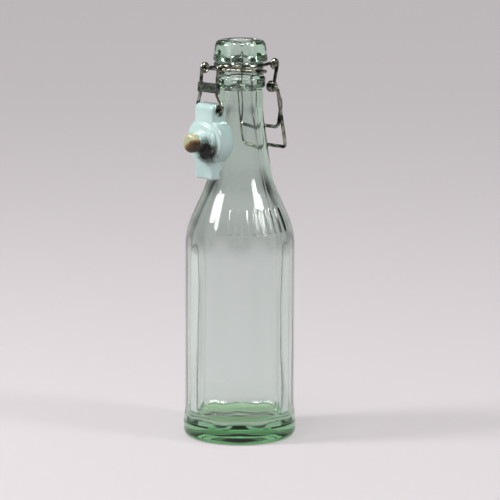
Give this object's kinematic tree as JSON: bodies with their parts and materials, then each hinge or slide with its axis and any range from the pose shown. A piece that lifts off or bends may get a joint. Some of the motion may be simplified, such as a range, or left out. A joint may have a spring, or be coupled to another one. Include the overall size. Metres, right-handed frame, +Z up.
{
  "type": "swing top bottle",
  "caption": "Pale green panelled glass bottle with a long neck and a wire lever closure that swings a glazed stopper onto the mouth and locks it with a bail.",
  "frame": {"origin": "centre of the base on the bottle's axis, in the plane it stands on", "axes": "+Z up along the bottle's axis, X along the closure's hinge axes, the stopper hangs on the -Y side and the lever on the +Y side"},
  "size_m": [0.0608, 0.069, 0.215],
  "materials": {
    "glass": "clear pale green bottle glass",
    "wire": "bright drawn wire, a little tarnished",
    "clip": "dull galvanised sheet",
    "porcelain": "pale mint glaze",
    "seal": "aged amber rubber"
  },
  "bodies": {
    "bottle": {"bottle": "glass", "hinge_wire": "wire", "pivot_wire": "wire"},
    "link": {"hinge_link": "wire", "link_clip": "clip"},
    "stopper": {"stopper": "porcelain", "stopper_seal": "seal"},
    "lever": {"lever": "wire"},
    "bail": {"locking_bail": "wire"}
  },
  "joints": [
    {"name": "link_swing", "type": "hinge", "parent": "bottle", "child": "link", "pos_m": [0, -0.0205, 0.201], "axis": [-1, 0, 0], "range_deg": [0, 185.84]},
    {"name": "stopper_tilt", "type": "hinge", "parent": "link", "child": "stopper", "pos_m": [0, -0.0224, 0.1793], "axis": [-1, 0, 0], "range_deg": [0, 84.16]},
    {"name": "lever_swing", "type": "hinge", "parent": "bottle", "child": "lever", "pos_m": [0, 0.01404, 0.20185], "axis": [1, 0, 0], "range_deg": [0, 195]},
    {"name": "bail_swing", "type": "hinge", "parent": "lever", "child": "bail", "pos_m": [0, 0.01113, 0.19005], "axis": [1, 0, 0], "range_deg": [0, 155.86]}
  ]
}
